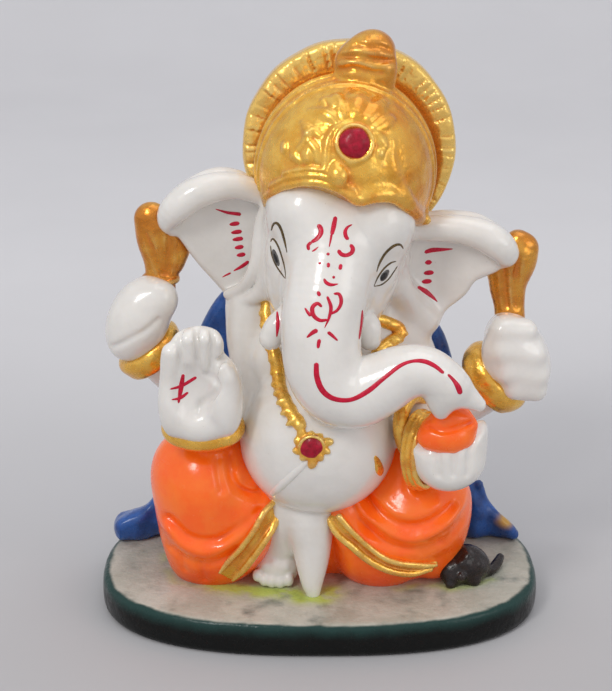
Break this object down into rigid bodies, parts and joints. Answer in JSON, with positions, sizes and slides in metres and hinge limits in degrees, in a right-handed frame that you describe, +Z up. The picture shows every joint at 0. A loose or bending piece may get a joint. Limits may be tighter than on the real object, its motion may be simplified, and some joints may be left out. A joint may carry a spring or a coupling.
{
  "type": "seated elephant-headed idol",
  "caption": "Small seated elephant-headed devotional figurine with a crown, on an oval plinth; stands free on its flat base.",
  "frame": {"origin": "centre of the plinth's underside, on the surface it stands on", "axes": "+Z up, the figure faces -Y, +X to the viewer's right (the figure's own left side)"},
  "size_m": [0.076, 0.048, 0.0988],
  "materials": {
    "ivory_lacquer": "gloss-lacquered off-white cast marble-dust resin, faintly translucent",
    "gold_paint": "pearly gold paint over the casting, browner in the recesses, under gloss lacquer",
    "orange_paint": "bright orange paint under gloss lacquer, redder in the folds",
    "blue_paint": "blue paint under gloss lacquer",
    "ruby_paint": "crimson paint drop under gloss lacquer",
    "marbled_plinth": "mottled grey-green stone-like paint, dark green round the side, under gloss lacquer",
    "dark_paint": "dark brown-black paint under gloss lacquer"
  },
  "bodies": {
    "root": {"plinth": "marbled_plinth", "belly": "ivory_lacquer", "pendant_gem": "ruby_paint", "pendant": "gold_paint", "necklace_right": "gold_paint", "necklace_left": "gold_paint", "sacred_thread": "ivory_lacquer", "crown_gem": "ruby_paint", "gem_bezel": "gold_paint", "modak": "orange_paint", "trunk": "ivory_lacquer", "tusk_right": "ivory_lacquer", "tusk_left": "ivory_lacquer", "head": "ivory_lacquer", "crown_band": "gold_paint", "crown_cap": "gold_paint", "crown_finial": "gold_paint", "crown_halo": "gold_paint", "palm_right_front": "ivory_lacquer", "cuff_right_front": "gold_paint", "arm_right_front": "ivory_lacquer", "hand_left_front": "ivory_lacquer", "bangle_left_front": "gold_paint", "arm_left_front": "ivory_lacquer", "fist_right_rear": "ivory_lacquer", "cuff_right_rear": "gold_paint", "axe_right": "gold_paint", "arm_right_rear": "ivory_lacquer", "fist_left_rear": "ivory_lacquer", "cuff_left_rear": "gold_paint", "goad_left": "gold_paint", "arm_left_rear": "ivory_lacquer", "torso": "ivory_lacquer", "ear_right": "ivory_lacquer", "ear_left": "ivory_lacquer", "foot_left": "ivory_lacquer", "foot_right": "ivory_lacquer", "dhoti_hem_right": "gold_paint", "dhoti_hem_left": "gold_paint", "mouse_head": "dark_paint", "mouse_body": "dark_paint", "mouse_tail": "dark_paint", "dhoti_leg_right": "orange_paint", "dhoti_leg_left": "orange_paint", "dhoti_seat": "orange_paint", "back_cloak": "blue_paint"}
  },
  "joints": []
}
